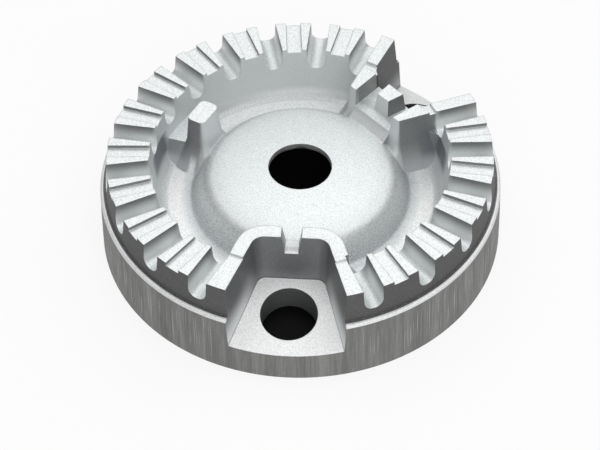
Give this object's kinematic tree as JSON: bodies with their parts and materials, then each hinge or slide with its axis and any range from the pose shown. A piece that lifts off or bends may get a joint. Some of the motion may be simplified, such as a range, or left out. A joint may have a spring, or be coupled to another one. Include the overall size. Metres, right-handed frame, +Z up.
{
  "type": "burner flame spreader",
  "caption": "Round cast flame spreader of a gas hob burner: crown of flame ports round a bowl with a domed floor and centre hole, and notches for the spark electrode and the thermocouple.",
  "frame": {"origin": "centre of the foot ring, on the axis of the centre hole", "axes": "+Z up along the axis of the centre hole, towards the tooth tops; -Y towards the electrode notch"},
  "size_m": [0.055, 0.055, 0.014],
  "materials": {
    "casting": "as-cast, fine-grained"
  },
  "bodies": {
    "root": {"flame_spreader": "casting"}
  },
  "joints": []
}
